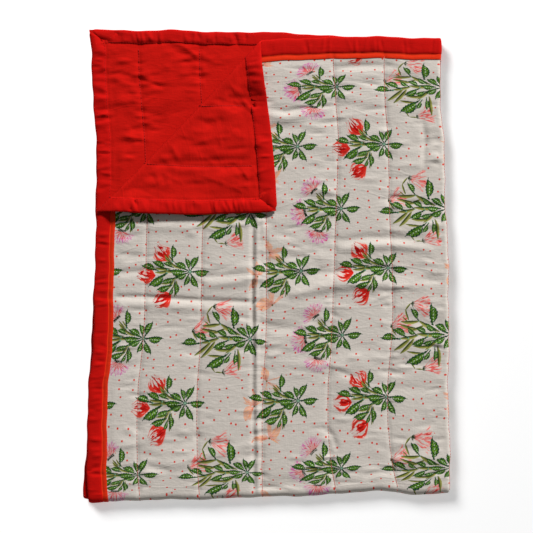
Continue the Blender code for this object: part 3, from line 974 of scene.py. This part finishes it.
# Dots: spacing in millimetres, radius as a share of it, and how far they keep from shapes
DOT_SPACING = 15.0
DOT_RADIUS = 0.098
DOT_SCATTER = 0.66
LEAF_CLEAR = 1.2
HEAD_CLEAR = 1.3
BLADE_CLEAR = 1.6

# --- Inks -----------------------------------------------------------------------------
DOT_RED = (200, 66, 52)
TULIP_DEEP = (142, 8, 8)
TULIP_BRIGHT = (214, 38, 28)
TULIP_RIM = (226, 84, 66)
BELL_INNER = (212, 104, 100)
BELL_OUTER = (222, 136, 128)
BELL_DEEP = (200, 62, 58)
BELL_NECK = (38, 52, 28)
PUFF_LILAC = (190, 84, 162)
PUFF_ROSE = (208, 100, 146)
PUFF_HEART = (204, 60, 66)
PUFF_SEPAL = (34, 36, 18)
LILY_DEEP = (212, 112, 68)
LILY_PALE = (222, 158, 116)
LILY_VEIN = (198, 92, 50)
LILY_THROAT = (204, 92, 54)
LILY_HEART = (96, 84, 36)
BLADE_DEEP = (50, 64, 22)
BLADE_PALE = (146, 146, 74)
LEAF_DEEP = (24, 62, 10)
LEAF_BRIGHT = (104, 146, 42)
RIM_DEEP = (4, 36, 26)
RIM_BRIGHT = (14, 76, 56)
LEAF_VEIN = (12, 42, 14)
LEAF_DASH = (200, 220, 184)
LEAF_HEART = (132, 178, 150)


def far_end(base, degrees, length):
    """The point at a length from the base, in a direction."""
    angle = math.radians(degrees)
    return base[0] + length * math.cos(angle), base[1] + length * math.sin(angle)


def nearest_of(tree, point, shapes, spread):
    """The nearest shape's own coordinates (x from -1 at base to 1 at tip, y across).

    Shapes are (base, tip, side, level), and the level keeps the sprays apart.
    """
    best, closest = None, None
    for base, tip, side, level in shapes:
        run = (tip[0] - base[0], tip[1] - base[1])
        length = math.hypot(*run)
        middle = ((base[0] + tip[0]) / 2, (base[1] + tip[1]) / 2, level * FAR_AWAY)
        local = add(tree, "ShaderNodeMapping", {"vector_type": "TEXTURE"}, {
            "Vector": point, "Location": middle, "Rotation": (0.0, 0.0, math.atan2(run[1], run[0])),
            "Scale": (length / 2, spread * length * side, 1.0)})
        distance = vector_node(tree, "LENGTH", local, output=1)
        if best is None:
            best, closest = local, distance
        else:
            best = blend(tree, distance < closest, best, local, "VECTOR")
            closest = closest.least(distance)
    return best, closest


def after(tree, point, earlier):
    """The same point, worked out only once an earlier value is known.

    Each set of shapes then waits for the one before, and fewer values are held at once.
    """
    return vector_node(tree, "ADD", point, join(tree, 0.0, 0.0, earlier > FAR_AWAY * FAR_AWAY))


def spray_coordinates(tree, across, along):
    """Which spray a point belongs to: its place from that spray's star, and four flags."""
    chosen, closest, flags = None, None, {}
    for name, ((star_across, star_along), (mid_x, mid_y)) in SPRAYS.items():
        x = (star_across - across - mid_x).maths("WRAP", TILE_ACROSS / 2, -TILE_ACROSS / 2)
        y = (along - star_along - mid_y).maths("WRAP", TILE_ALONG / 2, -TILE_ALONG / 2)
        local = join(tree, x, y)
        distance = vector_node(tree, "LENGTH", local, output=1)
        from_star = vector_node(tree, "ADD", local, (mid_x, mid_y, 0.0))
        if chosen is None:
            chosen, closest, flags[name] = from_star, distance, 1.0
        else:
            nearer = distance < closest
            chosen = blend(tree, nearer, chosen, from_star, "VECTOR")
            closest = closest.least(distance)
            flags = {other: flag * (1 - nearer) for other, flag in flags.items()}
            flags[name] = nearer
    return chosen, flags


def print_ink(tree, flat, ground):
    """The printed colour at a flat place: dots, flowers, blades and leaves on the ground."""
    millimetres = vector_node(tree, "MULTIPLY", flat, (1000.0, 1000.0, 0.0))
    wander = noise(tree, stretched(tree, millimetres, WANDER_SCALE, WANDER_SCALE), 1.0, 1.0)
    shake = join(tree, (wander - 0.5) * PRINT_WANDER, (0.5 - wander) * PRINT_WANDER)
    shaken = vector_node(tree, "ADD", millimetres, shake)
    across, along = split(tree, shaken)
    point, flags = spray_coordinates(tree, across, along)
    green_level = vector_node(tree, "ADD", point, join(tree, 0.0, 0.0, flags["bell"] * FAR_AWAY))
    leaves = [shape + (0,) for shape in SHARED_LEAVES] + [shape + (1,) for shape in BELL_LEAVES]
    leaf, leaf_near = nearest_of(tree, green_level, leaves, LEAF_SPREAD)
    green_level = after(tree, green_level, leaf_near)
    blades = [shape + (1, 0) for shape in SHARED_BLADES] + [shape + (1, 1) for shape in BELL_BLADES]
    blade, blade_near = nearest_of(tree, green_level, blades, BLADE_SPREAD)
    level = flags["puff"] + flags["lily"] * FLOWER_LEVELS["lily"]
    level = level + flags["bell"] * FLOWER_LEVELS["bell"]
    head_level = vector_node(tree, "ADD", point, join(tree, 0.0, 0.0, level * FAR_AWAY))
    head_level = after(tree, head_level, blade_near)
    heads = [
        (base, far_end(base, degrees, length), 1, FLOWER_LEVELS[name])
        for name, flowers in FLOWERS.items() for base, degrees, length in flowers]
    head, head_near = nearest_of(tree, head_level, heads, HEAD_SPREAD)

    # dots, scattered evenly and kept off the sprays
    spread_out = stretched(tree, millimetres, 1 / DOT_SPACING, 1 / DOT_SPACING)
    cells = add(tree, "ShaderNodeTexVoronoi", {"voronoi_dimensions": "2D", "feature": "F1"}, {
        "Vector": spread_out, "Scale": 1.0, "Randomness": DOT_SCATTER})
    free = (leaf_near > LEAF_CLEAR) * (head_near > HEAD_CLEAR) * (blade_near > BLADE_CLEAR)
    dot = (DOT_RADIUS - cells).ramp(0.0, 0.014) * free
    ink = blend(tree, dot, ground, dye(DOT_RED))

    ink = flower_ink(tree, ink, head, flags, millimetres)
    ink = blade_ink(tree, ink, blade)
    return leaf_ink(tree, ink, leaf, millimetres)


def flower_ink(tree, ink, head, flags, millimetres):
    """Flower heads as brush strokes opening from the base, each kind in its own way."""
    x, y = split(tree, head)
    x = x * 0.5 + 0.5
    y = y * 0.5
    seed = head_seed(tree, millimetres)
    reach = (x * x + y * y).maths("SQRT")
    turn = y.maths("ARCTAN2", x)
    wide = abs(turn)
    strokes = noise(tree, join(tree, turn * 5.0, reach * 1.3, seed), 1.6, 1.0, 0.6)
    fine = noise(tree, join(tree, turn * 7.5, reach * 1.8, seed + 9.0), 1.5, 1.0, 0.5)
    edge = reach + (strokes - 0.5) * 0.6
    brush = SimpleNamespace(
        x=x, y=y, seed=seed, reach=reach, turn=turn, wide=wide, strokes=strokes, fine=fine, edge=edge)
    ink = tulip_ink(tree, ink, brush, flags["tulip"])
    ink = bell_ink(tree, ink, brush, flags["bell"])
    ink = puff_ink(tree, ink, brush, flags["puff"])
    return lily_ink(tree, ink, brush, flags["lily"])


def tulip_ink(tree, ink, brush, here):
    """Tulips: a goblet of curved red petals with pale gaps towards their tips."""
    x, y, seed = brush.x, brush.y, brush.seed
    bowl = ((x * 1.02).most(0.0).least(1.0) * 2.75).sine().most((x * 1.9).least(0.46) * (x > 0.0))
    bowl = bowl.least(1.0) * 0.50
    petal = y / (bowl + 0.03)
    vein = noise(tree, join(tree, petal * 3.4, x * 1.4, seed), 1.5, 2.0, 0.6)
    cup = (1.02 - abs(petal)).ramp(0.0, 0.14) * (1.02 - x - (vein - 0.5) * 0.6).ramp(0.0, 0.05) * (x > 0.0)
    gap = (vein - 0.55 + (x - 0.5) * 0.26).ramp(0.0, 0.04) * (x > 0.16)
    red = blend(tree, vein.ramp(0.34, 0.56), dye(TULIP_DEEP), dye(TULIP_BRIGHT))
    red = blend(tree, (abs(petal) - 0.35).ramp(0.0, 0.5) * 0.55, red, dye(TULIP_RIM))
    return blend(tree, cup * (1 - gap * 0.92) * here, ink, red)


def bell_ink(tree, ink, brush, here):
    """Bells: separate salmon strokes from a dark neck, some of them deeper."""
    reach, wide, fine, edge = brush.reach, brush.wide, brush.fine, brush.edge
    fan = (1.02 - edge).ramp(0.0, 0.05) * (0.64 - wide).ramp(0.0, 0.06) * (reach - 0.10).ramp(0.0, 0.03)
    gap = (fine - 0.475).ramp(0.0, 0.04)
    salmon = blend(tree, (reach - 0.50).ramp(0.0, 0.4), dye(BELL_INNER), dye(BELL_OUTER))
    salmon = blend(tree, (0.36 - fine).ramp(0.0, 0.03), salmon, dye(BELL_DEEP))
    ink = blend(tree, fan * (1 - gap * 0.92) * here, ink, salmon)
    neck = (0.17 - reach - (fine - 0.5) * 0.5).ramp(0.0, 0.03) * (1.1 - wide).ramp(0.0, 0.1)
    return blend(tree, neck * here, ink, dye(BELL_NECK))


def puff_ink(tree, ink, brush, here):
    """Puffs: many lilac hairs, red towards the heart, on a row of dark sepals."""
    x, y, reach, wide = brush.x, brush.y, brush.reach, brush.wide
    strokes, fine, edge = brush.strokes, brush.fine, brush.edge
    hair = (fine - 0.47 + (0.5 - reach) * 0.10).ramp(0.0, 0.07)
    ball = (1.0 - edge).ramp(0.0, 0.12) * (1.62 - wide).ramp(0.0, 0.25) * (reach - 0.06).ramp(0.0, 0.04)
    lilac = blend(tree, strokes.ramp(0.42, 0.58), dye(PUFF_LILAC), dye(PUFF_ROSE))
    lilac = blend(tree, (0.58 - reach + (fine - 0.5) * 1.3).ramp(0.0, 0.20), lilac, dye(PUFF_HEART))
    ink = blend(tree, ball * (0.14 + hair * 0.76) * here, ink, lilac)
    sepal = (0.11 - abs(x + 0.02 + y * y * 0.5)).ramp(0.0, 0.03) * (0.34 - abs(y)).ramp(0.0, 0.06)
    sepal = sepal * (fine + strokes - 0.84).ramp(0.0, 0.04)
    return blend(tree, sepal * here, ink, dye(PUFF_SEPAL))


def lily_ink(tree, ink, brush, here):
    """Lilies: slender pale orange petals, see-through, with deeper veins."""
    reach, turn, wide, seed = brush.reach, brush.turn, brush.wide, brush.seed
    strokes, fine = brush.strokes, brush.fine
    sway = turn + (turn * 2.0 + 1.0).sine() * 0.28 + (strokes - 0.5) * 0.4
    spoke = abs((sway * 2.5).sine())
    beside = spoke.maths("ARCSINE") * 0.4 * reach
    slim = (reach * (1.04 - reach - (strokes - 0.5) * 0.5)).most(0.0) * 0.80 + 0.006
    slim = slim * ((turn + seed).sine() * 0.45 + 0.85) * (2.5 - wide).ramp(0.0, 0.4)
    cover = (slim - beside).ramp(0.0, 0.025)
    orange = blend(tree, fine.ramp(0.35, 0.6), dye(LILY_DEEP), dye(LILY_PALE))
    veins = (0.030 - beside).ramp(0.0, 0.025) * fine.ramp(0.40, 0.55)
    orange = blend(tree, veins, orange, dye(LILY_VEIN))
    throat = (0.30 - reach + (strokes - 0.5) * 0.5).ramp(0.0, 0.12)
    orange = blend(tree, throat, orange, dye(LILY_THROAT))
    ink = blend(tree, cover * (0.40 + fine.ramp(0.42, 0.58) * 0.48) * here, ink, orange)
    heart = (0.07 - reach).ramp(0.0, 0.03) * here
    return blend(tree, heart, ink, dye(LILY_HEART))


def head_seed(tree, millimetres):
    """A number for each patch of the cloth, so that flowers in different patches differ."""
    across, along = split(tree, millimetres)
    return (across * 0.011).maths("FLOOR") * 3.7 + (along * 0.013).maths("FLOOR") * 1.9


def blade_ink(tree, ink, blade):
    """Slender stems and blades: olive, dark along one side and pale along the other."""
    x, y = split(tree, blade)
    bent = y + (x * x - 0.4) * 0.35
    half = (1.0 - x * x).most(0.0) * 0.60 + 0.22
    cover = (half - abs(bent)).ramp(0.0, 0.22) * (1.0 - abs(x)).ramp(0.0, 0.04)
    olive = blend(tree, bent.ramp(-0.30, 0.35), dye(BLADE_DEEP), dye(BLADE_PALE))
    return blend(tree, cover, ink, olive)


def leaf_ink(tree, ink, leaf, millimetres):
    """Green leaves: a pointed plain half, a round lobe on the other side, pale dashes."""
    x, y = split(tree, leaf)
    s = x * 0.5 + 0.5
    wave = (x * 27.0).sine()
    body = (s * (1.0 - s)).most(0.0) * 4.0
    plain = body * (s * 0.50 + 0.18) + 0.02
    lobe = (1.0 - ((s - 0.56) * 3.3) ** 2.0).most(0.0) ** 0.6 * 0.93
    stem = (1.0 - s) * 0.12 + 0.08
    above = y > 0.0
    half = (plain * above + lobe * (1 - above)).most(stem) + wave * 0.045
    inside = half - abs(y)
    cover = inside.ramp(0.0, 0.08) * (1.0 - abs(x)).ramp(0.0, 0.05)
    mottle = noise(tree, stretched(tree, millimetres, 0.50, 0.50), 1.0, 2.0, 0.7)
    green = blend(tree, mottle.ramp(0.40, 0.60), dye(LEAF_DEEP), dye(LEAF_BRIGHT))
    rim = blend(tree, mottle.ramp(0.42, 0.60), dye(RIM_DEEP), dye(RIM_BRIGHT))
    green = blend(tree, inside.ramp(0.12, 0.34), rim, green)
    vein = (x * 27.0 - abs(y) * 7.0).sine()
    green = blend(tree, vein.ramp(0.1, 0.8) * 0.55, green, dye(LEAF_VEIN))
    dash = (vein + 0.2).ramp(0.0, 0.3) * (0.12 - abs(y + 0.20)).ramp(0.0, 0.05)
    dash = dash * (s - 0.24).ramp(0.0, 0.1) * (0.84 - s).ramp(0.0, 0.1) * mottle.ramp(0.36, 0.60)
    green = blend(tree, dash, green, dye(LEAF_DASH))
    heart = (0.10 - s).ramp(0.0, 0.06)
    green = blend(tree, heart * 0.7, green, dye(LEAF_HEART))
    return blend(tree, cover, ink, green)


# --- Cloth finishes ------------------------------------------------------------------
GROUND_COLOUR = (199, 191, 182)
RED_COLOUR = (188, 18, 10)
BINDING_COLOUR = (184, 14, 9)
FLANGE_COLOUR = (208, 46, 18)
FACE_THREAD_COLOUR = (168, 88, 78)
BACK_THREAD_COLOUR = (150, 12, 10)
THREAD_LIGHTER = 26
COTTON_SPECULAR = 0.06
# Millimetres from thread to thread, and between the lines that tack the gauze together
GAUZE_PITCH = 0.9
TACK_PITCH = 16.0
WRINKLE_HEIGHT = 9.0


def new_finish(name, roughness):
    """A Principled material with its fixed values set on the shader."""
    material = bpy.data.materials.new(name)
    material.use_nodes = True
    shader = material.node_tree.nodes["Principled BSDF"]
    shader.inputs["Roughness"].default_value = roughness
    shader.inputs["Specular IOR Level"].default_value = COTTON_SPECULAR
    return material, material.node_tree, shader


def flat_place(tree):
    """The flat place on the cloth, in metres, from the piece's own attribute."""
    return add(tree, "ShaderNodeAttribute", {"attribute_name": "flat"}, output=1)


def gauze(tree, flat):
    """Slubby gauze: (tone around 0, height for bump), from threads both ways."""
    millimetres = vector_node(tree, "MULTIPLY", flat, (1000.0, 1000.0, 0.0))
    weft = noise(tree, stretched(tree, millimetres, 0.10, 1.35), 1.0, 2.0, 0.6)
    warp = noise(tree, stretched(tree, millimetres, 1.35, 0.10), 1.0, 2.0, 0.6)
    across, along = split(tree, millimetres)
    thread_a = (across * (2 * math.pi / GAUZE_PITCH)).sine()
    thread_b = (along * (2 * math.pi / GAUZE_PITCH)).sine()
    crinkle = noise(tree, stretched(tree, millimetres, 0.16, 0.30), 1.0, 2.0, 0.55)
    wrinkle = noise(tree, stretched(tree, millimetres, 0.012, 0.040), 1.0, 1.0, 0.55)
    crease = (0.05 - abs(wrinkle - 0.5)).most(0.0) * WRINKLE_HEIGHT
    tack_a = (abs((across / TACK_PITCH).maths("FRACT") - 0.5) - 0.47).ramp(0.0, 0.02)
    tack_b = (abs((along / TACK_PITCH).maths("FRACT") - 0.5) - 0.47).ramp(0.0, 0.02)
    tack = tack_a.most(tack_b)
    tone = (weft + warp - 1.0) * 0.5 + tack * 0.085
    height = (weft + warp) * 0.36 + (thread_a + thread_b) * 0.05 + crinkle * 1.1 - tack * 0.16
    return tone, height + crease


def finish_cloth(tree, shader, colour, tone, height, strength, depth, swing):
    """Colour with light and dark threads, and the bump that goes with them."""
    factor = 1.0 + tone * swing
    shaded = vector_node(tree, "MULTIPLY", colour, join(tree, factor, factor, factor))
    link_or_set(tree, shader.inputs["Base Color"], shaded)
    bump = add(tree, "ShaderNodeBump", None, {
        "Strength": strength, "Distance": depth, "Height": height})
    link_or_set(tree, shader.inputs["Normal"], bump)


def printed_cotton():
    """Cream cotton gauze with the flower print and its red dots."""
    material, tree, shader = new_finish("printed_cotton", 0.95)
    flat = flat_place(tree)
    tone, height = gauze(tree, flat)
    ground = add(tree, "ShaderNodeRGB")
    ground.socket.default_value = dye(GROUND_COLOUR)
    ink = print_ink(tree, flat, ground)
    finish_cloth(tree, shader, ink, tone, height, strength=0.60, depth=0.0006, swing=0.40)
    return material


def plain_cotton(name, colour, swing, depth):
    """One dyed cloth, its threads taking the dye unevenly."""
    material, tree, shader = new_finish(name, 0.92)
    flat = flat_place(tree)
    tone, height = gauze(tree, flat)
    base = add(tree, "ShaderNodeRGB")
    base.socket.default_value = dye(colour)
    patch = noise(tree, stretched(tree, flat, 40.0, 40.0), 1.0, 2.0)
    uneven = tone + (patch - 0.5) * 0.35
    finish_cloth(tree, shader, base, uneven, height, strength=0.5, depth=depth, swing=swing)
    return material


def sewing_thread(name, colour):
    """Twisted cotton thread."""
    material, tree, shader = new_finish(name, 0.7)
    place_on = add(tree, "ShaderNodeTexCoord", output=3)
    patch = noise(tree, place_on, 900.0, 1.0)
    lighter = tuple(min(255, value + THREAD_LIGHTER) for value in colour)
    base = blend(tree, patch.ramp(0.3, 0.7), dye(colour), dye(lighter))
    link_or_set(tree, shader.inputs["Base Color"], base)
    return material


def dress(pieces):
    """Give every piece its finish and its body, and hide the solid parts."""
    finishes = {
        "printed": printed_cotton(),
        "red": plain_cotton("red_cotton", RED_COLOUR, swing=0.68, depth=0.0006),
        "binding": plain_cotton("binding_cotton", BINDING_COLOUR, swing=0.60, depth=0.0004),
        "flange": plain_cotton("flange_cotton", FLANGE_COLOUR, swing=0.52, depth=0.0004),
        "face_thread": sewing_thread("face_thread", FACE_THREAD_COLOUR),
        "back_thread": sewing_thread("back_thread", BACK_THREAD_COLOUR),
    }
    plan = (
        ("printed_top", "printed", "printed_cotton"),
        ("printed_under", "printed", "printed_cotton"),
        ("red_back", "red", "red_cotton"),
        ("binding", "binding", "binding_cotton"),
        ("flange", "flange", "flange_cotton"),
        ("quilting_face", "face_thread", "printed_cotton"),
        ("quilting_back", "back_thread", "red_cotton"),
        ("binding_stitches", "back_thread", "binding_cotton"),
    )
    for key, finish, slot in plan:
        piece = pieces[key]
        piece.data.materials.append(finishes[finish])
        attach(piece, "root")
    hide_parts("front_panel")
    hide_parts("back_panel")
    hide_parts("binding")
    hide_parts("flange")


# --- Setting --------------------------------------------------------------------------
FLOOR_SIZE = 6.0
FLOOR_TONE = (0.93, 0.93, 0.93, 1.0)
FLOOR_GLOW = 0.37
WHITE = (1.0, 1.0, 1.0, 1.0)
ROOM_LIGHT = 0.17
# Distance, bearing, height, size and power
RAKE_LIGHT = (12.0, 62.0, 30.0, 2.0, 2220.0)
SOFT_LIGHT = (5.0, 126.0, 35.0, 1.8, 262.0)
VIEW_WIDTH = 0.740
LENS = 85.0
SENSOR = 36.0


def make_floor():
    """A plain white floor, with a faint glow of its own."""
    half = FLOOR_SIZE / 2
    points = [(-half, -half, 0), (half, -half, 0), (half, half, 0), (-half, half, 0)]
    floor = make_mesh("floor", points, [(0, 1, 2, 3)])
    material, _, shader = new_finish("floor_white", 1.0)
    shader.inputs["Base Color"].default_value = FLOOR_TONE
    shader.inputs["Emission Color"].default_value = WHITE
    shader.inputs["Emission Strength"].default_value = FLOOR_GLOW
    floor.data.materials.append(material)
    return floor


def make_light(name, reach, bearing, height, size, power, lit):
    """A square soft light aimed at the middle, which lights the given pieces alone.

    Its place is a distance, with a bearing and a height in degrees.
    """
    turn = math.radians(bearing)
    rise = math.radians(height)
    data = bpy.data.lights.new(name, "AREA")
    data.shape = "SQUARE"
    data.size = size
    data.energy = power
    light = bpy.data.objects.new(name, data)
    light.location = (
        reach * math.cos(rise) * math.cos(turn), reach * math.cos(rise) * math.sin(turn),
        reach * math.sin(rise))
    light.rotation_euler = (math.pi / 2 - rise, 0.0, turn + math.pi / 2)
    bpy.context.scene.collection.objects.link(light)
    group = bpy.data.collections.new(name + "_lit")
    for piece in lit:
        group.objects.link(piece)
    light.light_linking.receiver_collection = group


def make_setting(pieces):
    """Floor, a raking light for the cloth, a softer one for the floor, and the camera."""
    floor = make_floor()
    make_light("rake", *RAKE_LIGHT, pieces.values())
    make_light("soft", *SOFT_LIGHT, [floor])
    world = bpy.data.worlds.new("room")
    world.use_nodes = True
    background = world.node_tree.nodes["Background"]
    background.inputs["Color"].default_value = WHITE
    background.inputs["Strength"].default_value = ROOM_LIGHT
    bpy.context.scene.world = world
    data = bpy.data.cameras.new("above")
    data.lens = LENS
    data.sensor_width = SENSOR
    camera = bpy.data.objects.new("above", data)
    camera.location = (0.0, 0.0, VIEW_WIDTH * LENS / SENSOR + TOP_LAYER)
    bpy.context.scene.collection.objects.link(camera)
    bpy.context.scene.camera = camera
    bpy.context.scene.view_settings.view_transform = "Standard"


quilt = make_pieces()
dress(quilt)
make_setting(quilt)
